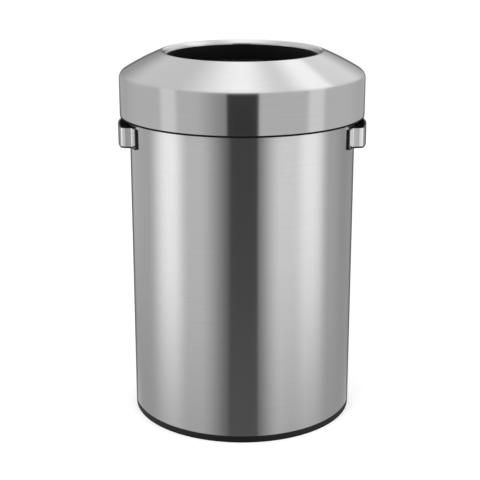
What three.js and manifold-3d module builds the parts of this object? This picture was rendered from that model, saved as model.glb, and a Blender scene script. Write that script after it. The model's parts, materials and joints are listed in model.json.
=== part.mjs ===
// Dome top waste receptacle: a round stainless bin with a lift-off open-top lid,
// a plastic base ring, two side handles and a lift-out inner liner with a bag ring.
// Millimetres, +Z up, front towards -Y, origin on the floor at the centre of the base.

import * as THREE from 'three';
import { mergeVertices } from 'three/addons/utils/BufferGeometryUtils.js';
import Module from 'manifold-3d';

const wasm = await Module();
wasm.setup();

// ---------------------------------------------------------------- driving dimensions

const facets = 64;              // flats round every turned piece
const snug = 0.3;               // gap between two faces that touch

// body
const bodyRadius = 205;
const bodyHeight = 597;         // floor to the top of the rim
const sheet = 1;                // steel sheet of the body and the lid
const rimWidth = 5;             // the rim is hemmed inwards by this much
const rimHem = 7;               // and the hem turns down by this much

// base
const baseHeight = 12;          // band that shows under the steel
const baseInset = 0.3;          // band set in from the steel
const baseFootWidth = 18;       // flat tread on the floor
const baseUpstand = 20;         // upstand inside the steel
const baseWall = 7;             // upstand thickness
const ledgeWidth = 16;          // ledge that carries the bottom plate
const ledgeHeight = 8;          // top of the ledge above the floor
const ledgeThickness = 4.5;
const plateThickness = 1.2;

// screws that hold the bottom plate to the base ring
const baseScrewCount = 4;
const baseScrewRadius = 2.1;
const baseScrewLength = 5;
const baseScrewHeadRadius = 4.2;
const baseScrewHeadHeight = 2.2;
const screwDriveRadius = 1.3;
const screwDriveDepth = 1.2;

// lid
const lidOverhang = 17.5;       // skirt stands this far outside the body
const skirtOverlap = 32.6;      // steel edge hangs this far below the rim
const skirtHeight = 64.1;       // steel edge to the start of the shoulder
const shoulderRadius = 16;
const domeRadius = 465;         // large radius of the sloping top
const domeRise = 47.5;          // shoulder start to the crest
const lipRadius = 10;           // roll from the crest into the opening
const lipDepth = 5;             // straight edge below the roll
const openingRadius = 134;      // clear opening inside the throat

// throat ring pressed on the lip
const throatWall = 1.7;
const throatDepth = 28;         // top edge to bottom edge
const throatClip = 3;           // outer clip behind the lip, height
const throatSleeve = 2.6;       // wall below the clip
const throatTopRise = 2;        // top edge above the end of the roll

// seat ring inside the lid
const trimHeight = 3.1;         // black line under the skirt
const trimInset = 0.2;
const seatWall = 2.5;
const seatThickness = 3;
const seatWidth = 9;            // ledge reach inside the body surface
const lidClearance = 1.5;       // seat ring round the body

// handles
const handleHeight = 33;
const handleDrop = 50;          // rim of the body down to the top edge
const handleHalfSpan = 67;      // centre line to the outer face of an arm, at the grip
const armSplay = 5;             // each foot stands out this much past its end of the grip
const handleReach = 21.5;       // grip face outside the body surface
const strap = 2;                // strap thickness
const flangeLength = 16;        // each foot along the body
const gripBend = 6;
const footBend = 3;
const liningWall = 1.5;
const liningLip = 2.8;          // lining shows this much under the strap
const studRadius = 3;
const nutRadius = 5.8;          // across the corners of the hexagon
const nutHeight = 4.5;
const studSpare = 1.2;          // stud end beyond the nut
const backingWall = 1.2;
const backingHeight = 24;
const backingMargin = 9;        // plate beyond each stud
const holeClearance = 0.35;

// liner
const linerDrop = 49;           // rim of the body down to the liner's rim
const linerGap = 18;            // body surface to the liner wall at the top
const linerTaper = 11;          // wall leans in by this much at the bottom
const linerWall = 2.5;
const linerFloor = 3;
const linerCorner = 4;
const linerRimWidth = 4.5;
const linerRimHeight = 8;

// bag ring over the liner rim
const bagRingSheet = 1.2;
const bagRingInnerDrop = 12;

// carrying bails inside the liner
const bailWire = 2.5;           // wire radius
const bailHalfWidth = 38;       // centre line of an arm
const bailDrop = 58;
const bailBend = 9;
const bailPivotDepth = 28;      // pivot below the liner rim
const bailInset = 14.5;         // pivot inside the liner wall at the rim
const lugThickness = 8;
const lugRadius = 7;
const lugRunning = 1.6;         // arm to lug
const pivotClearance = 0.35;

// ---------------------------------------------------------------- derived sizes

const bodyInner = bodyRadius - sheet;
const lidRadius = bodyRadius + lidOverhang;
const skirtBottom = bodyHeight - skirtOverlap;
const shoulderStart = skirtBottom + skirtHeight;
const crestHeight = shoulderStart + domeRise;
const crestRadius = openingRadius + throatWall + snug + lipRadius;
const lipCentreHeight = crestHeight - lipRadius;
const lipEnd = lipCentreHeight - lipDepth;

const baseRadius = bodyRadius - baseInset;
const upstandRadius = bodyInner - snug;
const upstandInner = upstandRadius - baseWall;
const ledgeInner = upstandInner - ledgeWidth;
const plateRadius = upstandInner - snug;
const plateBottom = ledgeHeight + snug;
const plateTop = plateBottom + plateThickness;
const baseScrewCircle = (ledgeInner + plateRadius) / 2;

const handleTop = bodyHeight - handleDrop;
const handleBottom = handleTop - handleHeight;
const handleMiddle = (handleTop + handleBottom) / 2;
const footRadius = bodyRadius + snug + liningWall + snug + strap;
const gripRadius = bodyRadius + handleReach;
const armAngleAtFoot = Math.asin((handleHalfSpan + armSplay) / footRadius);
const footEndAngle = armAngleAtFoot + flangeLength / footRadius;
const studAngle = armAngleAtFoot + (footBend + flangeLength) / 2 / footRadius;
const backingOuter = bodyInner * Math.cos(Math.PI / facets) - snug;
const backingInner = backingOuter - backingWall;
const nutOuter = backingInner - snug;
const nutInner = nutOuter - nutHeight;

const linerTop = bodyHeight - linerDrop;
const linerTopRadius = bodyRadius - linerGap;
const linerBottomRadius = linerTopRadius - linerTaper;
const linerBottom = plateTop + snug;
const linerRimRadius = linerTopRadius + linerRimWidth;
const pivotHeight = linerTop - bailPivotDepth;
const pivotInset = linerTopRadius - linerWall - bailInset;
const lugInner = bailHalfWidth + bailWire + lugRunning;
const lugOuter = lugInner + lugThickness;

// ---------------------------------------------------------------- colours

const finishes = {
  brushedSteel: { color: 0xa9a9a9, roughness: 0.35, metalness: 1 },
  polishedSteel: { color: 0xc4c4c4, roughness: 0.15, metalness: 1 },
  zincSteel: { color: 0x9a9c9e, roughness: 0.45, metalness: 1 },
  blackPlastic: { color: 0x141414, roughness: 0.5, metalness: 0 },
  linerPlastic: { color: 0x1c1c1d, roughness: 0.65, metalness: 0 },
};

// ---------------------------------------------------------------- outline helpers

const point = (x, y) => new THREE.Vector2(x, y);
const polar = (radius, angle) => point(radius * Math.cos(angle), radius * Math.sin(angle));

// Points on a round arc, both ends included.
function arc(centre, radius, from, to, steps) {
  const points = [];
  for (let i = 0; i <= steps; i += 1) {
    points.push(polar(radius, from + ((to - from) * i) / steps).add(centre));
  }
  return points;
}

// The corner between two legs, rounded to a radius.
function bend(before, corner, after, radius, steps) {
  const back = before.clone().sub(corner).normalize();
  const ahead = after.clone().sub(corner).normalize();
  const half = Math.acos(THREE.MathUtils.clamp(back.dot(ahead), -1, 1)) / 2;
  const middle = back.clone().add(ahead).normalize();
  const centre = corner.clone().addScaledVector(middle, radius / Math.sin(half));
  const start = corner.clone().addScaledVector(back, radius / Math.tan(half)).sub(centre);
  const end = corner.clone().addScaledVector(ahead, radius / Math.tan(half)).sub(centre);
  const turn = Math.atan2(start.cross(end), start.dot(end));
  return arc(centre, radius, start.angle(), start.angle() + turn, steps);
}

// A path moved sideways; positive distances move it to the left of its direction.
function offset(path, distance) {
  return path.map((here, i) => {
    const before = path[Math.max(i - 1, 0)];
    const after = path[Math.min(i + 1, path.length - 1)];
    const into = here.clone().sub(before).normalize();
    const out = after.clone().sub(here).normalize();
    if (i === 0) into.copy(out);
    if (i === path.length - 1) out.copy(into);
    const left = point(-into.y - out.y, into.x + out.x).normalize();
    const stretch = left.dot(point(-into.y, into.x));
    return here.clone().addScaledVector(left, distance / stretch);
  });
}

// The closed outline of a strip that has the path as its right side.
function strip(path, thickness) {
  return [...path, ...offset(path, thickness).reverse()];
}

// ---------------------------------------------------------------- solid helpers

// Turns an outline of (radius, height) points about Z, up the outside and down the inside.
function turned(outline) {
  const onAxis = outline[0].x === 0;
  const profile = onAxis ? outline : [...outline, outline[0]];
  return new THREE.LatheGeometry(profile, facets).rotateX(Math.PI / 2);
}

// Raises a plan outline between two heights.
function raised(outline, bottom, top) {
  const settings = { depth: top - bottom, bevelEnabled: false };
  return new THREE.ExtrudeGeometry(new THREE.Shape(outline), settings).translate(0, 0, bottom);
}

// A round bar along X, lying from one x to another.
function barAlongX(radius, from, to, sides) {
  const bar = new THREE.CylinderGeometry(radius, radius, to - from, sides);
  return bar.rotateZ(-Math.PI / 2).translate((from + to) / 2, 0, 0);
}

// A bar that stands upright.
function post(radius, bottom, top, sides) {
  const bar = new THREE.CylinderGeometry(radius, radius, top - bottom, sides);
  return bar.rotateX(Math.PI / 2).translate(0, 0, (bottom + top) / 2);
}

function toManifold(geometry) {
  const bare = geometry.clone();
  bare.deleteAttribute('normal');
  bare.deleteAttribute('uv');
  const merged = mergeVertices(bare, 1e-4);
  const vertProperties = new Float32Array(merged.attributes.position.array);
  const triVerts = new Uint32Array(merged.index.array);
  return new wasm.Manifold(new wasm.Mesh({ numProp: 3, vertProperties, triVerts }));
}

function toGeometry(manifold) {
  const mesh = manifold.getMesh();
  const geometry = new THREE.BufferGeometry();
  geometry.setAttribute('position', new THREE.BufferAttribute(mesh.vertProperties, 3));
  geometry.setIndex(new THREE.BufferAttribute(mesh.triVerts, 1));
  geometry.computeVertexNormals();
  return geometry;
}

function join(base, additions) {
  const joined = additions.reduce((all, next) => all.add(toManifold(next)), toManifold(base));
  return toGeometry(joined);
}

function cut(base, cutters) {
  const left = cutters.reduce((all, next) => all.subtract(toManifold(next)), toManifold(base));
  return toGeometry(left);
}

const assembly = new THREE.Group();

function add(name, geometry, finish) {
  const mesh = new THREE.Mesh(geometry, new THREE.MeshStandardMaterial(finish));
  mesh.name = name;
  assembly.add(mesh);
}

// ---------------------------------------------------------------- places of the fasteners

const baseScrewAngles = Array.from({ length: baseScrewCount }, (_, i) => (
  ((i + 0.5) * 2 * Math.PI) / baseScrewCount
));
const sides = [
  { name: 'right', facing: 0 },
  { name: 'left', facing: Math.PI },
];
const studPlaces = [
  { name: 'right_front', angle: -studAngle },
  { name: 'right_back', angle: studAngle },
  { name: 'left_front', angle: Math.PI + studAngle },
  { name: 'left_back', angle: Math.PI - studAngle },
];

// Bars that clear the studs, long enough to pass any wall near the body surface.
function studHoles(angles) {
  const radius = studRadius + holeClearance;
  return angles.map((angle) => (
    barAlongX(radius, nutInner - strap, footRadius + strap, 12)
      .translate(0, 0, handleMiddle)
      .rotateZ(angle)
  ));
}

// ---------------------------------------------------------------- base

function baseRing() {
  const outline = [
    point(baseRadius - baseFootWidth, 0),
    point(baseRadius, 0),
    point(baseRadius, baseHeight),
    point(upstandRadius, baseHeight),
    point(upstandRadius, baseHeight + baseUpstand),
    point(upstandInner, baseHeight + baseUpstand),
    point(upstandInner, ledgeHeight),
    point(ledgeInner, ledgeHeight),
    point(ledgeInner, ledgeHeight - ledgeThickness),
    point(baseRadius - baseFootWidth, ledgeHeight - ledgeThickness),
  ];
  const holes = baseScrewAngles.map((angle) => (
    post(baseScrewRadius + snug, -1, ledgeHeight + 1, 10)
      .translate(baseScrewCircle, 0, 0)
      .rotateZ(angle)
  ));
  return cut(turned(outline), holes);
}

function bottomPlate() {
  const outline = [
    point(0, plateBottom),
    point(plateRadius, plateBottom),
    point(plateRadius, plateTop),
    point(0, plateTop),
  ];
  const holes = baseScrewAngles.map((angle) => (
    post(baseScrewRadius + snug, plateBottom - 1, plateTop + 1, 10)
      .translate(baseScrewCircle, 0, 0)
      .rotateZ(angle)
  ));
  return cut(turned(outline), holes);
}

function baseScrew(angle) {
  const headBottom = plateTop + snug;
  const headTop = headBottom + baseScrewHeadHeight;
  const shank = post(baseScrewRadius, headBottom - baseScrewLength, headBottom + 1, 10);
  const head = post(baseScrewHeadRadius, headBottom, headTop, 12);
  const drive = post(screwDriveRadius, headTop - screwDriveDepth, headTop + 1, 6);
  return cut(join(head, [shank]), [drive]).translate(baseScrewCircle, 0, 0).rotateZ(angle);
}

// ---------------------------------------------------------------- body

function bodyShell() {
  const rimRadius = rimWidth / 2;
  const rimCentre = point(bodyRadius - rimRadius, bodyHeight - rimRadius);
  const surface = [
    point(bodyRadius, baseHeight + snug),
    ...arc(rimCentre, rimRadius, 0, Math.PI, 4),
    point(bodyRadius - rimWidth, bodyHeight - rimHem),
  ];
  return cut(turned(strip(surface, sheet)), studHoles(studPlaces.map((place) => place.angle)));
}

// ---------------------------------------------------------------- handles

// Plan of the outer face of a right-hand strap: a foot, an arm, the grip, an arm and a foot.
function strapPath() {
  const gripAngle = Math.asin(handleHalfSpan / gripRadius);
  const foot = polar(footRadius, armAngleAtFoot);
  const grip = polar(gripRadius, gripAngle);
  const alongFoot = polar(footRadius, (armAngleAtFoot + footEndAngle) / 2);
  const alongGrip = polar(gripRadius, gripAngle / 2);
  const footCorner = bend(alongFoot, foot, grip, footBend, 3);
  const gripCorner = bend(foot, grip, alongGrip, gripBend, 4);
  const bendEnd = gripCorner[gripCorner.length - 1];
  const gripHalf = arc(point(0, 0), bendEnd.length(), bendEnd.angle(), 0, 4).slice(1);
  const footEnd = polar(footRadius, footEndAngle);
  return mirrored([footEnd, alongFoot, ...footCorner, ...gripCorner, ...gripHalf]);
}

// A path that ends on the X axis, carried on by its mirror image.
function mirrored(half) {
  const otherHalf = half.slice(0, -1).reverse().map((here) => point(here.x, -here.y));
  return [...half, ...otherHalf];
}

function handle(facing) {
  const band = raised(strip(strapPath(), -strap), handleBottom, handleTop);
  const studs = [studAngle, -studAngle].map((angle) => (
    barAlongX(studRadius, nutInner - studSpare, footRadius - strap / 2, 12)
      .translate(0, 0, handleMiddle)
      .rotateZ(angle)
  ));
  return join(band, studs).rotateZ(facing);
}

// The layer behind the whole strap, under its feet too, with a lip that shows below it.
function handleLining(facing) {
  const face = strapPath();
  const bottom = handleBottom - snug - liningLip;
  const layer = raised(strip(offset(face, -strap - snug), -liningWall), bottom, handleTop);
  const lip = raised(strip(face, -strap - snug - liningWall), bottom, handleBottom - snug);
  return cut(join(layer, [lip]), studHoles([studAngle, -studAngle])).rotateZ(facing);
}

function handleBacking(facing) {
  const end = studAngle + backingMargin / backingOuter;
  const face = arc(point(0, 0), backingOuter, -end, end, 12);
  const plate = raised(
    strip(face, backingWall),
    handleMiddle - backingHeight / 2,
    handleMiddle + backingHeight / 2,
  );
  return cut(plate, studHoles([studAngle, -studAngle])).rotateZ(facing);
}

function handleNut(angle) {
  const nut = barAlongX(nutRadius, nutInner, nutOuter, 6).translate(0, 0, handleMiddle);
  return cut(nut, studHoles([0])).rotateZ(angle);
}

// ---------------------------------------------------------------- lid

// Centre of the large arc that runs smoothly into the shoulder and into the lip.
function domeCentre(shoulder, lip) {
  const across = lip.clone().sub(shoulder);
  const toShoulder = domeRadius - shoulderRadius;
  const toLip = domeRadius - lipRadius;
  const span = across.length();
  const along = (toShoulder ** 2 - toLip ** 2 + span ** 2) / (2 * span);
  const down = Math.sqrt(toShoulder ** 2 - along ** 2);
  const unit = across.divideScalar(span);
  return shoulder.clone().addScaledVector(unit, along).add(point(-unit.y, unit.x).multiplyScalar(down));
}

function lidShell() {
  const shoulder = point(lidRadius - shoulderRadius, shoulderStart);
  const lip = point(crestRadius, lipCentreHeight);
  const centre = domeCentre(shoulder, lip);
  const domeStart = shoulder.clone().sub(centre).angle();
  const domeEnd = lip.clone().sub(centre).angle();
  const surface = [
    point(lidRadius, skirtBottom),
    ...arc(shoulder, shoulderRadius, 0, domeStart, 4),
    ...arc(centre, domeRadius, domeStart, domeEnd, 3).slice(1, -1),
    ...arc(lip, lipRadius, domeEnd, Math.PI, 5),
    point(crestRadius - lipRadius, lipEnd),
  ];
  return turned(strip(surface, sheet));
}

function lidThroat() {
  const lipInside = crestRadius - lipRadius + sheet + snug;
  const slotBottom = lipEnd - snug;
  const top = lipCentreHeight + throatTopRise;
  const clipOuter = lipInside + throatWall;
  const clipTop = slotBottom + throatClip;
  const clipBottom = slotBottom - throatClip;
  const sleeveOuter = openingRadius + throatSleeve;
  const edge = throatWall / 3;
  return turned([
    point(openingRadius, top - throatDepth),
    point(sleeveOuter, top - throatDepth),
    point(sleeveOuter, clipBottom - (clipOuter - sleeveOuter)),
    point(clipOuter, clipBottom),
    point(clipOuter, clipTop),
    point(lipInside, clipTop),
    point(lipInside, slotBottom),
    point(openingRadius + throatWall, slotBottom),
    point(openingRadius + throatWall, top - edge),
    point(openingRadius + throatWall - edge, top),
    point(openingRadius + edge, top),
    point(openingRadius, top - edge),
  ]);
}

function lidSeatRing() {
  const trimTop = skirtBottom - snug;
  const trimBottom = trimTop - trimHeight;
  const seatBottom = bodyHeight + snug;
  const wallOuter = lidRadius - sheet - snug;
  const wallInner = wallOuter - seatWall;
  return turned([
    point(bodyRadius + lidClearance, trimBottom),
    point(lidRadius - trimInset, trimBottom),
    point(lidRadius - trimInset, trimTop),
    point(wallOuter, trimTop),
    point(wallOuter, seatBottom + seatThickness),
    point(bodyRadius - seatWidth, seatBottom + seatThickness),
    point(bodyRadius - seatWidth, seatBottom),
    point(wallInner, seatBottom),
    point(wallInner, trimTop),
    point(bodyRadius + lidClearance, trimTop),
  ]);
}

// ---------------------------------------------------------------- liner, bag ring and bails

function linerInnerRadius(height) {
  const lean = (linerTaper * (linerTop - height)) / (linerTop - linerBottom);
  return linerTopRadius - linerWall - lean;
}

// A lug on the liner wall with a bail's pivot hole, between two x, for the bail at the back.
function bailLug(from, to) {
  const outline = [
    point(linerTopRadius - pivotInset, -lugRadius),
    point(linerTopRadius - pivotInset, lugRadius),
    ...arc(point(0, 0), lugRadius, Math.PI / 2, (3 * Math.PI) / 2, 6),
  ];
  const settings = { depth: to - from, bevelEnabled: false };
  const block = new THREE.ExtrudeGeometry(new THREE.Shape(outline), settings)
    .rotateX(Math.PI / 2)
    .rotateZ(Math.PI / 2)
    .translate(from, pivotInset, pivotHeight);
  const pivotHole = barAlongX(bailWire + pivotClearance, from - 1, to + 1, 12)
    .translate(0, pivotInset, pivotHeight);
  const low = pivotHeight - 2 * lugRadius;
  const high = pivotHeight + 2 * lugRadius;
  const linerWallAndGap = turned([
    point(linerInnerRadius(low) - snug, low),
    point(2 * linerTopRadius, low),
    point(2 * linerTopRadius, high),
    point(linerInnerRadius(high) - snug, high),
  ]);
  return cut(block, [pivotHole, linerWallAndGap]);
}

function liner() {
  const rimTop = linerTop;
  const foot = arc(
    point(linerBottomRadius - linerCorner, linerBottom + linerCorner),
    linerCorner,
    -Math.PI / 2,
    0,
    2,
  );
  return turned([
    point(0, linerBottom),
    ...foot,
    point(linerTopRadius, rimTop - linerWall),
    point(linerRimRadius - linerWall, rimTop - linerWall),
    point(linerRimRadius - linerWall, rimTop - linerRimHeight),
    point(linerRimRadius, rimTop - linerRimHeight),
    point(linerRimRadius, rimTop),
    point(linerTopRadius - linerWall, rimTop),
    point(linerInnerRadius(linerBottom + linerFloor), linerBottom + linerFloor),
    point(0, linerBottom + linerFloor),
  ]);
}

function bagRing() {
  const bottomInside = linerTop - bagRingInnerDrop;
  const insideFace = linerInnerRadius(bottomInside) - snug;
  const outsideFace = linerRimRadius + snug;
  const under = linerTop + snug;
  return turned([
    point(insideFace, bottomInside),
    point(insideFace, under),
    point(outsideFace, under),
    point(outsideFace, linerTop - linerRimHeight),
    point(outsideFace + bagRingSheet, linerTop - linerRimHeight),
    point(outsideFace + bagRingSheet, under + bagRingSheet),
    point(insideFace - bagRingSheet, under + bagRingSheet),
    point(insideFace - bagRingSheet, bottomInside),
  ]);
}

// A wire bail hanging from its two pivots, drawn in the plane of its arms.
function bail(turn) {
  const end = lugOuter + bailWire / 2;
  const place = (x, z) => new THREE.Vector3(x, 0, z);
  const route = new THREE.CurvePath();
  const corners = [
    place(-end, 0), place(-bailHalfWidth, 0), place(-bailHalfWidth, -bailDrop),
    place(bailHalfWidth, -bailDrop), place(bailHalfWidth, 0), place(end, 0),
  ];
  const bends = [0, bailWire * 1.2, bailBend, bailBend, bailWire * 1.2, 0];
  let from = corners[0];
  for (let i = 1; i < corners.length - 1; i += 1) {
    const back = corners[i - 1].clone().sub(corners[i]).normalize();
    const ahead = corners[i + 1].clone().sub(corners[i]).normalize();
    const start = corners[i].clone().addScaledVector(back, bends[i]);
    const finish = corners[i].clone().addScaledVector(ahead, bends[i]);
    route.add(new THREE.LineCurve3(from, start));
    route.add(new THREE.QuadraticBezierCurve3(start, corners[i], finish));
    from = finish;
  }
  route.add(new THREE.LineCurve3(from, corners[corners.length - 1]));
  const section = new THREE.Shape(arc(point(0, 0), bailWire, 0, 2 * Math.PI, 8).slice(1));
  return new THREE.ExtrudeGeometry(section, { steps: 32, bevelEnabled: false, extrudePath: route })
    .translate(0, pivotInset, pivotHeight)
    .rotateZ(turn);
}

// ---------------------------------------------------------------- assembly

add('base_ring', baseRing(), finishes.blackPlastic);
add('bottom_plate', bottomPlate(), finishes.zincSteel);
baseScrewAngles.forEach((angle, i) => {
  add(`base_screw_${i + 1}`, baseScrew(angle), finishes.zincSteel);
});
add('body_shell', bodyShell(), finishes.brushedSteel);
for (const side of sides) {
  add(`handle_${side.name}`, handle(side.facing), finishes.polishedSteel);
  add(`handle_lining_${side.name}`, handleLining(side.facing), finishes.blackPlastic);
  add(`handle_backing_${side.name}`, handleBacking(side.facing), finishes.zincSteel);
}
for (const place of studPlaces) {
  add(`handle_nut_${place.name}`, handleNut(place.angle), finishes.zincSteel);
}
add('liner', liner(), finishes.linerPlastic);
for (const [end, turn] of [['back', 0], ['front', Math.PI]]) {
  add(`bail_lug_${end}_1`, bailLug(lugInner, lugOuter).rotateZ(turn), finishes.zincSteel);
  add(`bail_lug_${end}_2`, bailLug(-lugOuter, -lugInner).rotateZ(turn), finishes.zincSteel);
  add(`liner_bail_${end}`, bail(turn), finishes.polishedSteel);
}
add('bag_ring', bagRing(), finishes.polishedSteel);
add('lid_shell', lidShell(), finishes.brushedSteel);
add('lid_throat', lidThroat(), finishes.blackPlastic);
add('lid_seat_ring', lidSeatRing(), finishes.blackPlastic);

export default assembly;
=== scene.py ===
"""Dome top waste receptacle: fine surfaces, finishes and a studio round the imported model.

Sizes are millimetres and become metres where a mesh is made. +Z is up, the front faces -Y, and
the origin is on the floor at the centre of the base.
"""

import json
import math

import bmesh
import bpy
import numpy as np
from mathutils import Matrix, Vector

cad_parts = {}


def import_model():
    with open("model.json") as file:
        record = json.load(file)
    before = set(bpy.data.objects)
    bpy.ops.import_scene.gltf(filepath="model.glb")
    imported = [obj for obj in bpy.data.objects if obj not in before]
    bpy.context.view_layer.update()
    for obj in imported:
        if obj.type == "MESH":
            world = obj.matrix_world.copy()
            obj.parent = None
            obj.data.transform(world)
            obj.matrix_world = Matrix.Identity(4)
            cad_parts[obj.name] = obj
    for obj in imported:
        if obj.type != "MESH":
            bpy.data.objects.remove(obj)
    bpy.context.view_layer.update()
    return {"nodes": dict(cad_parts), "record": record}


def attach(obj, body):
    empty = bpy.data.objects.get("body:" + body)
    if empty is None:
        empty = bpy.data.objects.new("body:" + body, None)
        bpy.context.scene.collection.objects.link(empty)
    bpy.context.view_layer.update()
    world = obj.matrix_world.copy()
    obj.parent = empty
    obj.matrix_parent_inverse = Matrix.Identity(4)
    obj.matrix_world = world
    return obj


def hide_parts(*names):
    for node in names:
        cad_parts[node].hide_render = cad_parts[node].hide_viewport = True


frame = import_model()

# ---------------------------------------------------------------- sizes

MM = 0.001
TURNS = 256                 # flats round a turned piece
SNUG = 0.3                  # gap between two faces that touch
SHARP = math.radians(32)    # edges that turn more than this stay crisp
LEG_SHARE = 0.45            # a rounded corner takes at most this share of each leg

BODY_RADIUS = 205
BODY_HEIGHT = 597
SHEET = 1
RIM_WIDTH = 5
RIM_HEM = 7
SHEET_EDGE = 0.45       # rounding of a cut sheet edge
PLASTIC_EDGE = 0.7      # rounding of a moulded edge

BASE_HEIGHT = 12
BASE_INSET = 0.3
BASE_FOOT_WIDTH = 18
BASE_UPSTAND = 20
BASE_WALL = 7
LEDGE_WIDTH = 16
LEDGE_HEIGHT = 8
LEDGE_THICKNESS = 4.5
PLATE_THICKNESS = 1.2
PLATE_BEADS = (60, 115)  # radii of the pressed beads
BEAD_WIDTH = 12
BEAD_DEPTH = 2.5
BEAD_STEPS = 12

LID_OVERHANG = 17.5
SKIRT_OVERLAP = 32.6
SKIRT_HEIGHT = 64.1
SHOULDER_RADIUS = 16
DOME_RADIUS = 465
DOME_RISE = 47.5
LIP_RADIUS = 10
LIP_DEPTH = 5
OPENING_RADIUS = 134

THROAT_WALL = 1.7
THROAT_DEPTH = 28
THROAT_CLIP = 3
THROAT_SLEEVE = 2.6
THROAT_TOP_RISE = 2

TRIM_HEIGHT = 3.1
TRIM_INSET = 0.2
SEAT_WALL = 2.5
SEAT_THICKNESS = 3
SEAT_WIDTH = 9
LID_CLEARANCE = 1.5

HANDLE_HEIGHT = 33
HANDLE_DROP = 50
HANDLE_HALF_SPAN = 67
ARM_SPLAY = 5           # each foot stands out this much past its end of the grip
ARM_BOW = 1.4           # how far an arm bulges between foot and grip
ARM_KNEE = 0.68         # where it bulges most, as a share of the way
ARM_ROUNDING = 20       # radius of the bulge
HANDLE_REACH = 21.5
GRIP_TRIM = 0.05        # keeps the grip between bowed arms inside the plain one
STRAP = 2
STRAP_EDGE = 0.6
FLANGE_LENGTH = 16
GRIP_BEND = 6
FOOT_BEND = 3
LINING_WALL = 1.5
LINING_LIP = 2.8
STUD_RADIUS = 3
STUD_TURNS = 24
NUT_HEIGHT = 4.5
STUD_SPARE = 1.2
BACKING_WALL = 1.2

LINER_DROP = 49
LINER_GAP = 18
LINER_TAPER = 11
LINER_WALL = 2.5
LINER_FLOOR = 3
LINER_CORNER = 4
LINER_RIM_WIDTH = 4.5
LINER_RIM_HEIGHT = 8

BAG_RING_SHEET = 1.2
BAG_RING_INNER_DROP = 12

BAIL_WIRE = 2.5
BAIL_HALF_WIDTH = 38
BAIL_DROP = 58
BAIL_BEND = 9
BAIL_EYE_BEND = 3       # where the wire turns out to its pivot
BAIL_PIVOT_DEPTH = 28
BAIL_INSET = 14.5
LUG_THICKNESS = 8
LUG_RUNNING = 1.6

BODY_INNER = BODY_RADIUS - SHEET
LID_RADIUS = BODY_RADIUS + LID_OVERHANG
SKIRT_BOTTOM = BODY_HEIGHT - SKIRT_OVERLAP
SHOULDER_START = SKIRT_BOTTOM + SKIRT_HEIGHT
CREST_HEIGHT = SHOULDER_START + DOME_RISE
CREST_RADIUS = OPENING_RADIUS + THROAT_WALL + SNUG + LIP_RADIUS
LIP_CENTRE_HEIGHT = CREST_HEIGHT - LIP_RADIUS
LIP_END = LIP_CENTRE_HEIGHT - LIP_DEPTH

BASE_RADIUS = BODY_RADIUS - BASE_INSET
UPSTAND_RADIUS = BODY_INNER - SNUG
UPSTAND_INNER = UPSTAND_RADIUS - BASE_WALL
LEDGE_INNER = UPSTAND_INNER - LEDGE_WIDTH
PLATE_RADIUS = UPSTAND_INNER - SNUG
PLATE_BOTTOM = LEDGE_HEIGHT + SNUG
PLATE_TOP = PLATE_BOTTOM + PLATE_THICKNESS

HANDLE_TOP = BODY_HEIGHT - HANDLE_DROP
HANDLE_BOTTOM = HANDLE_TOP - HANDLE_HEIGHT
HANDLE_MIDDLE = (HANDLE_TOP + HANDLE_BOTTOM) / 2
FOOT_RADIUS = BODY_RADIUS + SNUG + LINING_WALL + SNUG + STRAP
GRIP_RADIUS = BODY_RADIUS + HANDLE_REACH - GRIP_TRIM
ARM_ANGLE_AT_FOOT = math.asin((HANDLE_HALF_SPAN + ARM_SPLAY) / FOOT_RADIUS)
FOOT_END_ANGLE = ARM_ANGLE_AT_FOOT + FLANGE_LENGTH / FOOT_RADIUS
STUD_ANGLE = ARM_ANGLE_AT_FOOT + (FOOT_BEND + FLANGE_LENGTH) / 2 / FOOT_RADIUS
NUT_INNER = BODY_INNER - 2 * SNUG - BACKING_WALL - NUT_HEIGHT

LINER_TOP = BODY_HEIGHT - LINER_DROP
LINER_TOP_RADIUS = BODY_RADIUS - LINER_GAP
LINER_BOTTOM_RADIUS = LINER_TOP_RADIUS - LINER_TAPER
LINER_BOTTOM = PLATE_TOP + SNUG
LINER_RIM_RADIUS = LINER_TOP_RADIUS + LINER_RIM_WIDTH
PIVOT_HEIGHT = LINER_TOP - BAIL_PIVOT_DEPTH
PIVOT_INSET = LINER_TOP_RADIUS - LINER_WALL - BAIL_INSET
LUG_OUTER = BAIL_HALF_WIDTH + BAIL_WIRE + LUG_RUNNING + LUG_THICKNESS

# ---------------------------------------------------------------- outlines


def polar(radius, angle):
    return Vector((radius * math.cos(angle), radius * math.sin(angle)))


def arc(centre, radius, start, end, steps):
    """Points on a round arc, both ends included."""
    centre = Vector(centre)
    return [centre + polar(radius, start + (end - start) * i / steps) for i in range(steps + 1)]


def bend(before, corner, after, radius, steps):
    """The corner between two legs, rounded to a radius."""
    back = (before - corner).normalized()
    ahead = (after - corner).normalized()
    half = back.angle(ahead) / 2
    centre = corner + (back + ahead).normalized() * radius / math.sin(half)
    start = corner + back * radius / math.tan(half) - centre
    end = corner + ahead * radius / math.tan(half) - centre
    turn = math.atan2(start.x * end.y - start.y * end.x, start.dot(end))
    first = math.atan2(start.y, start.x)
    return arc(centre, radius, first, first + turn, steps)


def offset(path, distance):
    """A path moved sideways; positive distances move it to the left of its direction."""
    moved = []
    for i, here in enumerate(path):
        into = here - path[i - 1] if i > 0 else path[1] - here
        out = path[i + 1] - here if i < len(path) - 1 else into
        left_in = Vector((-into.y, into.x)).normalized()
        left_out = Vector((-out.y, out.x)).normalized()
        left = (left_in + left_out).normalized()
        moved.append(here + left * distance / left.dot(left_in))
    return moved


def strip(path, thickness):
    """The closed outline of a strip that has the path as its right side."""
    return path + offset(path, thickness)[::-1]


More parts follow.
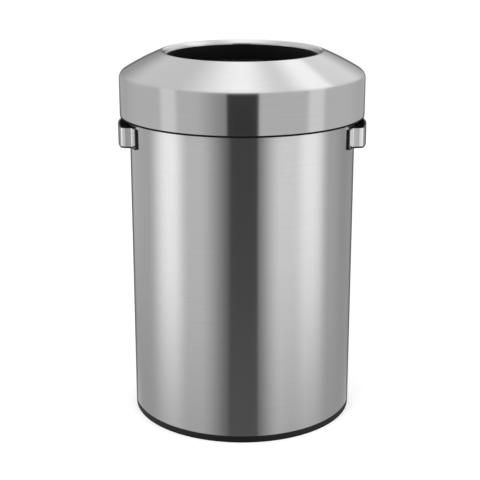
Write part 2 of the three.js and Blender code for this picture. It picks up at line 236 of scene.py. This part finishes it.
def soften(outline, radius, steps=3):
    """A closed outline with its sharp corners rounded; corners on the axis stay."""
    outline = [Vector(here) for here in outline]
    soft = []
    for i, here in enumerate(outline):
        before = outline[i - 1]
        after = outline[(i + 1) % len(outline)]
        corner = (before - here).angle(after - here)
        if here.x == 0 or corner > math.pi - SHARP:
            soft.append(here)
            continue
        room = LEG_SHARE * min((before - here).length, (after - here).length)
        soft += bend(before, here, after, min(radius, room * math.tan(corner / 2)), steps)
    return soft


def mirrored(half):
    """A path that ends on the X axis, carried on by its mirror image."""
    return half + [Vector((here.x, -here.y)) for here in half[-2::-1]]


# ---------------------------------------------------------------- meshes


def lathe(outline, turns=TURNS):
    """Turns an outline of (radius, height) points about Z."""
    mesh = bmesh.new()
    on_axis = outline[0][0] == 0
    rings = []
    for radius, height in outline:
        if radius == 0:
            rings.append([mesh.verts.new((0, 0, height * MM))] * turns)
            continue
        ring = []
        for k in range(turns):
            spot = polar(radius, 2 * math.pi * k / turns)
            ring.append(mesh.verts.new((spot.x * MM, spot.y * MM, height * MM)))
        rings.append(ring)
    pairs = list(zip(rings, rings[1:]))
    if not on_axis:
        pairs.append((rings[-1], rings[0]))
    for low, high in pairs:
        for k in range(turns):
            after = (k + 1) % turns
            corners = dict.fromkeys((low[k], low[after], high[after], high[k]))
            mesh.faces.new(corners)
    return mesh


def sweep(path, section):
    """Carries a section of (sideways, height) points along a flat path in XY."""
    mesh = bmesh.new()
    rows = []
    for sideways, height in section:
        row = [(spot.x * MM, spot.y * MM, height * MM) for spot in offset(path, sideways)]
        rows.append([mesh.verts.new(spot) for spot in row])
    for row, above in zip(rows, rows[1:] + rows[:1]):
        for i in range(len(path) - 1):
            mesh.faces.new((row[i], row[i + 1], above[i + 1], above[i]))
    for end in (0, -1):
        mesh.faces.new([row[end] for row in rows])
    return mesh


def join(mesh, other):
    """Adds another mesh's faces, as a separate shell of the same piece."""
    scratch = bpy.data.meshes.new("scratch")
    other.to_mesh(scratch)
    other.free()
    mesh.from_mesh(scratch)
    bpy.data.meshes.remove(scratch)


def piece(name, mesh, slot, body, node, finish=None):
    """A finished object: smooth but for its sharp edges, riding on a body, standing for a node.

    The finish is the slot's, or another one of the same stuff.
    """
    bmesh.ops.recalc_face_normals(mesh, faces=mesh.faces)
    for face in mesh.faces:
        face.smooth = True
    for edge in mesh.edges:
        edge.smooth = edge.calc_face_angle(0) < SHARP
    data = bpy.data.meshes.new(name)
    mesh.to_mesh(data)
    mesh.free()
    data.materials.append(finishes[finish or slot])
    made = bpy.data.objects.new(name, data)
    bpy.context.scene.collection.objects.link(made)
    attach(made, body)
    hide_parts(node)


# ---------------------------------------------------------------- materials


class Shader:
    """A node material with a Principled surface, and short calls to add nodes to it."""

    def __init__(self, name, surface):
        self.material = bpy.data.materials.new(name)
        self.material.use_nodes = True
        self.nodes = self.material.node_tree.nodes
        self.links = self.material.node_tree.links
        self.surface = self.nodes["Principled BSDF"]
        for socket, value in surface.items():
            self.surface.inputs[socket].default_value = value

    def add(self, kind, inputs=(), **settings):
        """A new node; inputs gives (socket, value or output) pairs."""
        node = self.nodes.new("ShaderNode" + kind)
        for key, value in settings.items():
            setattr(node, key, value)
        for socket, value in inputs:
            if isinstance(value, bpy.types.NodeSocket):
                self.links.new(value, node.inputs[socket])
            else:
                node.inputs[socket].default_value = value
        return node

    def maths(self, operation, *values):
        """One sum on numbers or outputs."""
        return self.add("Math", list(enumerate(values)), operation=operation).outputs[0]

    def place(self):
        """The point on the object, in metres."""
        return self.add("TexCoord").outputs["Object"]

    def noise(self, vector, scale, detail=2, roughness=0.5):
        """A cloudy pattern about the value one half."""
        inputs = (("Vector", vector), ("Scale", scale), ("Detail", detail), ("Roughness", roughness))
        return self.add("TexNoise", inputs).outputs["Fac"]

    def spread(self, value, low, high):
        """Maps 0..1 to low..high."""
        inputs = (("Value", value), ("To Min", low), ("To Max", high))
        return self.add("MapRange", inputs).outputs["Result"]

    def tint(self, value, dark, light):
        """Maps 0..1 to a colour between two."""
        ramp = self.add("ValToRGB", (("Fac", value),))
        ramp.color_ramp.elements[0].color = (*dark, 1)
        ramp.color_ramp.elements[1].color = (*light, 1)
        return ramp.outputs["Color"]

    def raise_surface(self, height, distance, strength):
        """Bumps the surface by a height pattern, in metres."""
        inputs = (("Height", height), ("Distance", distance), ("Strength", strength))
        bump = self.add("Bump", inputs)
        self.set("Normal", bump.outputs["Normal"])

    def set(self, socket, output):
        self.links.new(output, self.surface.inputs[socket])


def grey(level):
    return (level, level, level)


def grain_round_axis(shader, line_width, line_length):
    """Fine brush lines that run round the Z axis, as a cloudy value."""
    split = shader.add("SeparateXYZ", (("Vector", shader.place()),))
    x, y, z = split.outputs
    flat = shader.add("CombineXYZ", (("X", x), ("Y", y))).outputs[0]
    radius = shader.add("VectorMath", ((0, flat),), operation="LENGTH").outputs["Value"]
    across = 1 / line_width
    along = 1 / line_length
    lines = shader.add("CombineXYZ", (
        ("X", shader.maths("MULTIPLY", radius, across)),
        ("Y", shader.maths("MULTIPLY", z, across)),
        ("Z", shader.maths("MULTIPLY", x, along)),
    ))
    turn = shader.maths("MULTIPLY", y, along)
    inputs = (("Vector", lines.outputs[0]), ("W", turn), ("Scale", 1), ("Detail", 2))
    return shader.add("TexNoise", inputs, noise_dimensions="4D").outputs["Fac"]


def brushed_steel():
    """Stainless sheet with a fine grain round the bin, which draws reflections out along its height."""
    shader = Shader("brushed_steel", {"Metallic": 1.0, "Anisotropic": 1.0, "Anisotropic Rotation": 0.25})
    tangent = shader.add("Tangent", direction_type="RADIAL", axis="Z")
    shader.set("Tangent", tangent.outputs[0])
    fine = grain_round_axis(shader, line_width=0.0004, line_length=0.08)
    broad = grain_round_axis(shader, line_width=0.004, line_length=0.25)
    smudge = shader.noise(shader.place(), scale=5, detail=3)
    shader.set("Base Color", shader.tint(fine, dark=(0.58, 0.58, 0.582), light=(0.68, 0.68, 0.682)))
    lines = shader.spread(broad, low=-0.012, high=0.012)
    patches = shader.spread(smudge, low=0.16, high=0.2)
    shader.set("Roughness", shader.maths("ADD", lines, patches))
    return shader.material


def polished_steel():
    """Bright strap and wire, with faint draw lines."""
    shader = Shader("polished_steel", {"Metallic": 1.0})
    fine = grain_round_axis(shader, line_width=0.0008, line_length=0.05)
    smudge = shader.noise(shader.place(), scale=30, detail=3)
    shader.set("Base Color", shader.tint(fine, dark=grey(0.68), light=grey(0.76)))
    shader.set("Roughness", shader.spread(smudge, low=0.13, high=0.2))
    return shader.material


def zinc_steel():
    """Zinc plate with faint crystal patches."""
    shader = Shader("zinc_steel", {"Metallic": 1.0})
    crystals = shader.add("TexVoronoi", (("Vector", shader.place()), ("Scale", 250)))
    patches = crystals.outputs["Distance"]
    shader.set("Base Color", shader.tint(patches, dark=(0.46, 0.47, 0.48), light=(0.56, 0.57, 0.58)))
    shader.set("Roughness", shader.spread(patches, low=0.35, high=0.5))
    return shader.material


def moulded(name, dark, light, texture, roughness, specular):
    """A moulded plastic or rubber with a fine skin texture and faint scuffs."""
    wear = 0.06
    shader = Shader(name, {"Specular IOR Level": specular})
    skin = shader.noise(shader.place(), scale=1 / texture)
    scuffs = shader.noise(shader.place(), scale=24, detail=4, roughness=0.65)
    shader.set("Base Color", shader.tint(scuffs, dark, light))
    shader.set("Roughness", shader.spread(scuffs, roughness - wear, roughness + wear))
    shader.raise_surface(skin, distance=0.00012, strength=0.4)
    return shader.material


def black_plastic():
    return moulded("black_plastic", grey(0.006), grey(0.014), texture=0.0009, roughness=0.5, specular=0.22)


def black_plastic_painted_shade():
    """Black plastic for the lid's throat and seat trim, duller and darker than the base's; the extra
    darkness is painted shade for the dark inside of the opening.
    """
    return moulded("black_plastic_painted_shade", grey(0.003), grey(0.006), texture=0.0009, roughness=0.6, specular=0.15)


def black_rubber():
    return moulded("black_rubber", grey(0.014), grey(0.024), texture=0.0007, roughness=0.5, specular=0.4)


def liner_plastic():
    dark = (0.022, 0.022, 0.023)
    light = (0.036, 0.036, 0.038)
    return moulded("liner_plastic", dark, light, texture=0.0014, roughness=0.56, specular=0.4)


finishes = {
    "brushed_steel": brushed_steel(),
    "polished_steel": polished_steel(),
    "zinc_steel": zinc_steel(),
    "black_plastic": black_plastic(),
    # the same black plastic made darker: painted shade for the inside of the lid's opening
    "black_plastic_painted_shade": black_plastic_painted_shade(),
    "black_rubber": black_rubber(),
    "liner_plastic": liner_plastic(),
}

# ---------------------------------------------------------------- base


def base_ring():
    outline = [
        (BASE_RADIUS - BASE_FOOT_WIDTH, 0),
        (BASE_RADIUS, 0),
        (BASE_RADIUS, BASE_HEIGHT),
        (UPSTAND_RADIUS, BASE_HEIGHT),
        (UPSTAND_RADIUS, BASE_HEIGHT + BASE_UPSTAND),
        (UPSTAND_INNER, BASE_HEIGHT + BASE_UPSTAND),
        (UPSTAND_INNER, LEDGE_HEIGHT),
        (LEDGE_INNER, LEDGE_HEIGHT),
        (LEDGE_INNER, LEDGE_HEIGHT - LEDGE_THICKNESS),
        (BASE_RADIUS - BASE_FOOT_WIDTH, LEDGE_HEIGHT - LEDGE_THICKNESS),
    ]
    mesh = lathe(soften(outline, PLASTIC_EDGE))
    piece("base_ring_moulded", mesh, "black_plastic", "bin", "base_ring")


def bottom_plate():
    """The floor of the body, stiffened by beads pressed downwards."""
    top = []
    for bead in PLATE_BEADS:
        for i in range(BEAD_STEPS + 1):
            share = i / BEAD_STEPS
            drop = BEAD_DEPTH * math.sin(math.pi * share) ** 2
            top.append(Vector((bead + BEAD_WIDTH * (share - 0.5), PLATE_TOP - drop)))
    face = [Vector((0, PLATE_TOP)), *top, Vector((PLATE_RADIUS, PLATE_TOP))]
    under = [Vector((here.x, here.y - PLATE_THICKNESS)) for here in face]
    piece("bottom_plate_pressed", lathe(face + under[::-1]), "zinc_steel", "bin", "bottom_plate")


# ---------------------------------------------------------------- body


def body_shell():
    rim = RIM_WIDTH / 2
    surface = [
        Vector((BODY_RADIUS, BASE_HEIGHT + SNUG)),
        *arc((BODY_RADIUS - rim, BODY_HEIGHT - rim), rim, 0, math.pi, steps=12),
        Vector((BODY_RADIUS - RIM_WIDTH, BODY_HEIGHT - RIM_HEM)),
    ]
    mesh = lathe(soften(strip(surface, SHEET), SHEET_EDGE))
    piece("body_steel", mesh, "brushed_steel", "bin", "body_shell")


# ---------------------------------------------------------------- handles


def strap_path():
    """Plan of the outer face of a right-hand strap: a foot, a bowed arm, the grip, and back."""
    grip_angle = math.asin(HANDLE_HALF_SPAN / GRIP_RADIUS)
    foot = polar(FOOT_RADIUS, ARM_ANGLE_AT_FOOT)
    grip = polar(GRIP_RADIUS, grip_angle)
    along_grip = polar(GRIP_RADIUS, grip_angle / 2)
    foot_run = arc((0, 0), FOOT_RADIUS, FOOT_END_ANGLE, ARM_ANGLE_AT_FOOT, steps=8)
    across = grip - foot
    out = Vector((-across.y, across.x)).normalized()
    knee = foot + across * ARM_KNEE + out * ARM_BOW
    foot_corner = bend(foot_run[-2], foot, knee, FOOT_BEND, steps=8)
    knee_corner = bend(foot, knee, grip, ARM_ROUNDING, steps=10)
    grip_corner = bend(knee, grip, along_grip, GRIP_BEND, steps=12)
    bend_end = grip_corner[-1]
    grip_half = arc((0, 0), bend_end.length, math.atan2(bend_end.y, bend_end.x), 0, steps=24)
    return mirrored([*foot_run[:-2], *foot_corner, *knee_corner, *grip_corner, *grip_half[1:]])


def handle(side, facing):
    section = [(0, HANDLE_BOTTOM), (-STRAP, HANDLE_BOTTOM), (-STRAP, HANDLE_TOP), (0, HANDLE_TOP)]
    mesh = sweep(strap_path(), soften(section, STRAP_EDGE))
    for angle in (STUD_ANGLE, -STUD_ANGLE):
        join(mesh, stud(angle))
    mesh.transform(Matrix.Rotation(facing, 4, "Z"))
    piece(f"handle_strap_{side}", mesh, "polished_steel", "bin", f"handle_{side}")


def stud(angle):
    """The welded stud that carries a foot, from behind its nut to inside the strap."""
    start = NUT_INNER - STUD_SPARE
    length = FOOT_RADIUS - STRAP / 2 - start
    outline = [(0, 0), (STUD_RADIUS, 0), (STUD_RADIUS, length), (0, length)]
    mesh = lathe(soften(outline, STRAP_EDGE), STUD_TURNS)
    mesh.transform(Matrix.Rotation(math.pi / 2, 4, "Y"))
    mesh.transform(Matrix.Translation((start * MM, 0, HANDLE_MIDDLE * MM)))
    mesh.transform(Matrix.Rotation(angle, 4, "Z"))
    return mesh


def handle_lining(side, facing):
    """The lining behind a strap and its feet, with the lip that shows under it."""
    inner = -STRAP - SNUG
    bottom = HANDLE_BOTTOM - SNUG - LINING_LIP
    section = [
        (0, bottom),
        (inner - LINING_WALL, bottom),
        (inner - LINING_WALL, HANDLE_TOP),
        (inner, HANDLE_TOP),
        (inner, HANDLE_BOTTOM - SNUG),
        (0, HANDLE_BOTTOM - SNUG),
    ]
    mesh = sweep(strap_path(), soften(section, STRAP_EDGE))
    mesh.transform(Matrix.Rotation(facing, 4, "Z"))
    name = f"handle_lining_{side}"
    piece(f"{name}_moulded", mesh, "black_rubber", "bin", name)


# ---------------------------------------------------------------- lid


def dome_centre(shoulder, lip):
    """Centre of the large arc that runs smoothly into the shoulder and into the lip."""
    across = lip - shoulder
    to_shoulder = DOME_RADIUS - SHOULDER_RADIUS
    to_lip = DOME_RADIUS - LIP_RADIUS
    along = (to_shoulder ** 2 - to_lip ** 2 + across.length ** 2) / (2 * across.length)
    down = math.sqrt(to_shoulder ** 2 - along ** 2)
    unit = across.normalized()
    return shoulder + unit * along + Vector((-unit.y, unit.x)) * down


def lid_shell():
    shoulder = Vector((LID_RADIUS - SHOULDER_RADIUS, SHOULDER_START))
    lip = Vector((CREST_RADIUS, LIP_CENTRE_HEIGHT))
    centre = dome_centre(shoulder, lip)
    to_shoulder = shoulder - centre
    to_lip = lip - centre
    dome_start = math.atan2(to_shoulder.y, to_shoulder.x)
    dome_end = math.atan2(to_lip.y, to_lip.x)
    surface = [
        Vector((LID_RADIUS, SKIRT_BOTTOM)),
        *arc(shoulder, SHOULDER_RADIUS, 0, dome_start, steps=16),
        *arc(centre, DOME_RADIUS, dome_start, dome_end, steps=16)[1:-1],
        *arc(lip, LIP_RADIUS, dome_end, math.pi, steps=24),
        Vector((CREST_RADIUS - LIP_RADIUS, LIP_END)),
    ]
    mesh = lathe(soften(strip(surface, SHEET), SHEET_EDGE))
    piece("lid_steel", mesh, "brushed_steel", "lid", "lid_shell")


def lid_throat():
    lip_inside = CREST_RADIUS - LIP_RADIUS + SHEET + SNUG
    slot_bottom = LIP_END - SNUG
    top = LIP_CENTRE_HEIGHT + THROAT_TOP_RISE
    clip_outer = lip_inside + THROAT_WALL
    clip_bottom = slot_bottom - THROAT_CLIP
    sleeve_outer = OPENING_RADIUS + THROAT_SLEEVE
    outline = [
        (OPENING_RADIUS, top - THROAT_DEPTH),
        (sleeve_outer, top - THROAT_DEPTH),
        (sleeve_outer, clip_bottom - (clip_outer - sleeve_outer)),
        (clip_outer, clip_bottom),
        (clip_outer, slot_bottom + THROAT_CLIP),
        (lip_inside, slot_bottom + THROAT_CLIP),
        (lip_inside, slot_bottom),
        (OPENING_RADIUS + THROAT_WALL, slot_bottom),
        (OPENING_RADIUS + THROAT_WALL, top),
        (OPENING_RADIUS, top),
    ]
    mesh = lathe(soften(outline, PLASTIC_EDGE))
    # The throat takes the darkened black plastic; its extra darkness is painted shade for the inside of the
    # opening.
    piece("lid_throat_moulded", mesh, "black_plastic", "lid", "lid_throat", "black_plastic_painted_shade")


def lid_seat_ring():
    trim_top = SKIRT_BOTTOM - SNUG
    trim_bottom = trim_top - TRIM_HEIGHT
    seat_bottom = BODY_HEIGHT + SNUG
    wall_outer = LID_RADIUS - SHEET - SNUG
    wall_inner = wall_outer - SEAT_WALL
    outline = [
        (BODY_RADIUS + LID_CLEARANCE, trim_bottom),
        (LID_RADIUS - TRIM_INSET, trim_bottom),
        (LID_RADIUS - TRIM_INSET, trim_top),
        (wall_outer, trim_top),
        (wall_outer, seat_bottom + SEAT_THICKNESS),
        (BODY_RADIUS - SEAT_WIDTH, seat_bottom + SEAT_THICKNESS),
        (BODY_RADIUS - SEAT_WIDTH, seat_bottom),
        (wall_inner, seat_bottom),
        (wall_inner, trim_top),
        (BODY_RADIUS + LID_CLEARANCE, trim_top),
    ]
    mesh = lathe(soften(outline, PLASTIC_EDGE))
    # The seat trim takes the same darkened black plastic, with its painted shade.
    piece("lid_seat_ring_moulded", mesh, "black_plastic", "lid", "lid_seat_ring", "black_plastic_painted_shade")


# ---------------------------------------------------------------- liner, bag ring and bails


def liner_inner_radius(height):
    lean = LINER_TAPER * (LINER_TOP - height) / (LINER_TOP - LINER_BOTTOM)
    return LINER_TOP_RADIUS - LINER_WALL - lean


def liner():
    corner = (LINER_BOTTOM_RADIUS - LINER_CORNER, LINER_BOTTOM + LINER_CORNER)
    floor = LINER_BOTTOM + LINER_FLOOR
    outline = [
        Vector((0, LINER_BOTTOM)),
        *arc(corner, LINER_CORNER, -math.pi / 2, 0, steps=8),
        Vector((LINER_TOP_RADIUS, LINER_TOP - LINER_WALL)),
        Vector((LINER_RIM_RADIUS - LINER_WALL, LINER_TOP - LINER_WALL)),
        Vector((LINER_RIM_RADIUS - LINER_WALL, LINER_TOP - LINER_RIM_HEIGHT)),
        Vector((LINER_RIM_RADIUS, LINER_TOP - LINER_RIM_HEIGHT)),
        Vector((LINER_RIM_RADIUS, LINER_TOP)),
        Vector((LINER_TOP_RADIUS - LINER_WALL, LINER_TOP)),
        Vector((liner_inner_radius(floor), floor)),
        Vector((0, floor)),
    ]
    piece("liner_moulded", lathe(soften(outline, PLASTIC_EDGE)), "liner_plastic", "liner", "liner")


def bag_ring():
    bottom_inside = LINER_TOP - BAG_RING_INNER_DROP
    inside_face = liner_inner_radius(bottom_inside) - SNUG
    outside_face = LINER_RIM_RADIUS + SNUG
    under = LINER_TOP + SNUG
    outline = [
        (inside_face, bottom_inside),
        (inside_face, under),
        (outside_face, under),
        (outside_face, LINER_TOP - LINER_RIM_HEIGHT),
        (outside_face + BAG_RING_SHEET, LINER_TOP - LINER_RIM_HEIGHT),
        (outside_face + BAG_RING_SHEET, under + BAG_RING_SHEET),
        (inside_face - BAG_RING_SHEET, under + BAG_RING_SHEET),
        (inside_face - BAG_RING_SHEET, bottom_inside),
    ]
    mesh = lathe(soften(outline, PLASTIC_EDGE))
    piece("bag_ring_steel", mesh, "polished_steel", "bag_ring", "bag_ring")


def bail(end, turn):
    """A wire bail hanging from its two pivots."""
    reach = LUG_OUTER + BAIL_WIRE / 2
    half = [
        Vector((-reach, 0)),
        *bend(Vector((-reach, 0)), Vector((-BAIL_HALF_WIDTH, 0)),
              Vector((-BAIL_HALF_WIDTH, -BAIL_DROP)), BAIL_EYE_BEND, steps=8),
        *bend(Vector((-BAIL_HALF_WIDTH, 0)), Vector((-BAIL_HALF_WIDTH, -BAIL_DROP)),
              Vector((0, -BAIL_DROP)), BAIL_BEND, steps=12),
        Vector((0, -BAIL_DROP)),
    ]
    route = half + [Vector((-here.x, here.y)) for here in half[-2::-1]]
    section = arc((0, 0), BAIL_WIRE, 0, 2 * math.pi, steps=20)[1:]
    mesh = sweep(route, section)
    mesh.transform(Matrix.Rotation(math.pi / 2, 4, "X"))
    mesh.transform(Matrix.Translation((0, PIVOT_INSET * MM, PIVOT_HEIGHT * MM)))
    mesh.transform(Matrix.Rotation(turn, 4, "Z"))
    piece(f"bail_wire_{end}", mesh, "polished_steel", f"bail_{end}", f"liner_bail_{end}")


# ---------------------------------------------------------------- the bin

base_ring()
bottom_plate()
body_shell()
for side, facing in (("right", 0), ("left", math.pi)):
    handle(side, facing)
    handle_lining(side, facing)
liner()
for end, turn in (("back", 0), ("front", math.pi)):
    bail(end, turn)
bag_ring()
lid_shell()
lid_throat()
lid_seat_ring()

slots = {part["node"]: part["material_slot"] for part in frame["record"]["subparts"]}
for name, node in frame["nodes"].items():
    node.data.materials.clear()
    node.data.materials.append(finishes[slots[name]])

# ---------------------------------------------------------------- studio

FLOOR_RADIUS = 12.0             # metres, as are the other sizes and places here
FLOOR_THICKNESS = 0.01
FLOOR_TURNS = 128
FLOOR_LIFT = 0.42               # glow that brings the lit floor up to white
SKY_LEVEL = 0.7                 # the world's light on everything but what shows it
TENT_CENTRE = 0.35
LID_TENT_RADIUS = 7.0
BODY_TENT_RADIUS = 8.0
TENT_COLUMNS = 720
TENT_ROWS = 240
TENT_TOP = 0.499                # where the rows end, in half turns from the middle; a pole is at 0.5
FRONT_RISE = math.radians(10)   # how far the front view looks down on the bin

# The photo's viewing angle, in a camera that looks down and has no shift. The pitch is in degrees,
# the lens and the sensor in millimetres.
CAMERA_PLACE = (-0.004, -2.2, 0.979)
CAMERA_PITCH = 16.7
CAMERA_LENS = 91.5
CAMERA_SENSOR = 36

# Two light tents hang round the bin, one lighting the lid and a wider one the rest. Their panels are
# in the order they hang, later ones in front. A panel's place is the place of the wall that mirrors
# it to the front: "around" is how far round the bin that wall faces (degrees, 0 at the front, + to
# the right), and "lean" how far up it faces (0 upright, 90 flat). Each range is (from, to, width of
# the soft edge at from, the same at to). A tent's rim hangs in front of its panels: it is what the
# walls mirror that turn away from the front by more than an angle (degrees, soft edge, brightness).
ALL_ROUND = (-200, 200, 1, 1)
WALLS = (-60, 60, 20, 20)       # lean of what the body's walls mirror
SKIRT = (-60, 30, 20, 5)        # the same for the lid's skirt
DOME = (28, 91, 5, 1)           # the same for the lid's dome

BODY_CLOTH = 0.54
BODY_PANELS = (
    # name, around, lean, brightness
    ("right cloth", (56, 200, 14, 10), WALLS, 0.4),
    ("left glow", (-45, 20, 14, 10), (-18, 60, 22, 20), 0.72),
    ("right glow", (0, 45, 10, 8), (-13, 60, 22, 20), 0.95),
    ("left strip", (-47, -32, 16, 10), (-14, 60, 20, 20), 1.3),
    ("right strip", (30, 41, 8, 8), (-10, 60, 20, 20), 1.24),
    ("skirting", ALL_ROUND, (-34, -16, 8, 18), 0.4),
    ("floor glow", ALL_ROUND, (-91, -38, 1, 12), 0.9),
    ("front shade", (-13, 12, 18, 16), WALLS, 0.14),
    ("front flag", (-6, 7.6, 3, 0.6), WALLS, 0.075),
    ("front flag foot", (-6, 7.6, 3, 0.6), (-60, -8, 20, 14), 0.12),
)
BODY_RIM = (77.2, 2.5, 0.13)

LID_CLOTH = 0.64
LID_PANELS = (
    ("left band", (-39.6, -31, 3, 3), SKIRT, 0.87),
    ("right band", (31, 39.8, 3, 3), SKIRT, 0.89),
    ("front shade", (-15, 7.4, 16, 1), (-60, 26, 20, 6), 0.35),
    ("front flag", (-6.9, 7.2, 0.6, 0.6), (-60, 24, 20, 2), 0.045),
    ("floor glow", ALL_ROUND, (-91, -34, 1, 12), 0.9),
    ("left side", (-200, -64, 1, 24), (-91, 30, 1, 5), 0.49),
    ("right side", (64, 200, 24, 1), (-91, 30, 1, 5), 0.5),
    ("left sky", (-200, -10, 1, 20), DOME, 0.82),
    ("right sky", (-10, 200, 20, 1), DOME, 0.98),
    ("front sky", (-17, 10, 34, 18), DOME, 1.4),
    ("right sky strip", (27, 45, 16, 6), DOME, 1.4),
    ("left sky edge", (-200, -68, 1, 26), DOME, 0.38),
    ("right sky edge", (73, 200, 20, 1), DOME, 0.5),
)
LID_RIM = (79, 2.5, 0.17)


def edge(value, position, softness):
    """0 below a soft edge and 1 above it."""
    share = np.clip((value - position) / softness + 0.5, 0, 1)
    return share * share * (3 - 2 * share)


def within(value, low, high, soft_low, soft_high):
    return edge(value, low, soft_low) * (1 - edge(value, high, soft_high))


def tent_levels(spots, cloth, panels, rim):
    """Brightness of a tent in each direction."""
    to_front = np.array((0, -math.cos(FRONT_RISE), math.sin(FRONT_RISE)))
    facing = spots + to_front
    around = np.degrees(np.arctan2(facing[:, 0], -facing[:, 1]))
    lean = np.degrees(np.arctan2(facing[:, 2], np.hypot(facing[:, 0], facing[:, 1])))
    level = np.full(len(spots), cloth)
    for name, across, upright, bright in panels:
        level += (bright - level) * within(around, *across) * within(lean, *upright)
    turned, softness, bright = rim
    away = np.degrees(np.arccos(np.clip(np.linalg.norm(facing, axis=1) / 2, 0, 1)))
    level += (bright - level) * edge(away, turned, softness)
    return level


def tent(name, radius, cloth, panels, rim, sheer):
    """A light tent that only reflections see; through a sheer one they see what hangs behind it."""
    columns = np.linspace(-math.pi, math.pi, TENT_COLUMNS, endpoint=False)
    rows = np.linspace(-TENT_TOP, TENT_TOP, TENT_ROWS) * math.pi
    turn, rise = np.meshgrid(columns, rows)
    spots = np.stack((
        np.cos(rise) * np.sin(turn),
        -np.cos(rise) * np.cos(turn),
        np.sin(rise),
    ), axis=-1).reshape(-1, 3)
    faces = []
    for row in range(TENT_ROWS - 1):
        for column in range(TENT_COLUMNS):
            after = (column + 1) % TENT_COLUMNS
            low = row * TENT_COLUMNS
            high = low + TENT_COLUMNS
            faces.append((low + column, low + after, high + after, high + column))
    data = bpy.data.meshes.new(name)
    data.from_pydata((spots * radius).tolist(), [], faces)
    level = data.attributes.new("level", "FLOAT", "POINT")
    level.data.foreach_set("value", tent_levels(spots, cloth, panels, rim))
    data.materials.append(tent_cloth(name, sheer))
    made = bpy.data.objects.new(name, data)
    made.location = (0, 0, TENT_CENTRE)
    bpy.context.scene.collection.objects.link(made)
    made.visible_camera = False
    made.visible_diffuse = False
    made.visible_transmission = False
    made.visible_shadow = False
    return made


def tent_cloth(name, sheer):
    """Cloth that glows at the brightness held in the tent's mesh."""
    cloth = bpy.data.materials.new(name)
    cloth.use_nodes = True
    cloth.cycles.emission_sampling = "NONE"
    nodes = cloth.node_tree.nodes
    links = cloth.node_tree.links
    nodes.clear()
    value = nodes.new("ShaderNodeAttribute")
    value.attribute_name = "level"
    glow = nodes.new("ShaderNodeEmission")
    output = nodes.new("ShaderNodeOutputMaterial")
    links.new(value.outputs["Fac"], glow.inputs["Strength"])
    links.new(glow.outputs[0], output.inputs["Surface"])
    if sheer:
        clear = nodes.new("ShaderNodeBsdfTransparent")
        both = nodes.new("ShaderNodeAddShader")
        links.new(glow.outputs[0], both.inputs[0])
        links.new(clear.outputs[0], both.inputs[1])
        links.new(both.outputs[0], output.inputs["Surface"])
    return cloth


def lights_only(light, receivers, choice):
    """Lets a tent light only some objects (choice INCLUDE), or all but these (EXCLUDE)."""
    group = bpy.data.collections.new(light.name + "_lights")
    for receiver in receivers:
        group.objects.link(receiver)
    for entry in group.collection_objects:
        entry.light_linking.link_state = choice
    light.light_linking.receiver_collection = group


def tents():
    lid = [bpy.data.objects["lid_steel"]]
    inner = tent("lid_tent", LID_TENT_RADIUS, LID_CLOTH, LID_PANELS, LID_RIM, sheer=True)
    lights_only(inner, lid, "INCLUDE")
    outer = tent("body_tent", BODY_TENT_RADIUS, BODY_CLOTH, BODY_PANELS, BODY_RIM, sheer=False)
    lights_only(outer, lid, "EXCLUDE")


def seen_directly(nodes, links):
    """1 for rays that show the background itself: from the camera, or by way of metal or glass."""
    path = nodes.new("ShaderNodeLightPath")
    total = path.outputs["Is Camera Ray"]
    for name in ("Is Glossy Ray", "Is Transmission Ray"):
        add = nodes.new("ShaderNodeMath")
        add.operation = "MAXIMUM"
        links.new(total, add.inputs[0])
        links.new(path.outputs[name], add.inputs[1])
        total = add.outputs[0]
    return total


def floor():
    """A pale floor that is white to the eye but keeps the bin's shadow."""
    edge_radius = FLOOR_RADIUS / MM
    under = -FLOOR_THICKNESS / MM
    mesh = lathe([(0, 0), (edge_radius, 0), (edge_radius, under), (0, under)], FLOOR_TURNS)
    bmesh.ops.recalc_face_normals(mesh, faces=mesh.faces)
    data = bpy.data.meshes.new("floor")
    mesh.to_mesh(data)
    mesh.free()
    pale = {"Base Color": (0.86, 0.86, 0.86, 1), "Roughness": 0.9, "Emission Color": (1, 1, 1, 1)}
    shader = Shader("floor_paint", pale)
    lift = shader.maths("MULTIPLY", seen_directly(shader.nodes, shader.links), FLOOR_LIFT)
    shader.set("Emission Strength", lift)
    data.materials.append(shader.material)
    made = bpy.data.objects.new("floor", data)
    bpy.context.scene.collection.objects.link(made)
    made.visible_glossy = False


def world():
    """White to the eye, and an even soft light on everything else."""
    sky = bpy.data.worlds.new("studio")
    sky.use_nodes = True
    nodes = sky.node_tree.nodes
    links = sky.node_tree.links
    background = nodes["Background"]
    background.inputs["Color"].default_value = (1, 1, 1, 1)
    strength = nodes.new("ShaderNodeMapRange")
    strength.inputs["To Min"].default_value = SKY_LEVEL
    strength.inputs["To Max"].default_value = 1.0
    links.new(seen_directly(nodes, links), strength.inputs["Value"])
    links.new(strength.outputs["Result"], background.inputs["Strength"])
    bpy.context.scene.world = sky


def softbox(name, place, size, power):
    """A large lamp aimed at the middle of the bin."""
    data = bpy.data.lights.new(name, "AREA")
    data.shape = "SQUARE"
    data.size = size
    data.energy = power
    made = bpy.data.objects.new(name, data)
    made.location = place
    aim = Vector((0, 0, TENT_CENTRE)) - Vector(place)
    made.rotation_euler = aim.to_track_quat("-Z", "Y").to_euler()
    made.visible_glossy = False
    bpy.context.scene.collection.objects.link(made)


def camera():
    data = bpy.data.cameras.new("camera")
    data.sensor_width = CAMERA_SENSOR
    data.lens = CAMERA_LENS
    made = bpy.data.objects.new("camera", data)
    made.location = CAMERA_PLACE
    made.rotation_euler = (math.radians(90 - CAMERA_PITCH), 0, 0)
    bpy.context.scene.collection.objects.link(made)
    bpy.context.scene.camera = made


tents()
floor()
world()
softbox("key", place=(-1.6, -2.0, 2.2), size=1.6, power=25)
softbox("fill", place=(2.2, -1.2, 1.6), size=1.8, power=15)
camera()
bpy.context.scene.view_settings.view_transform = "Standard"
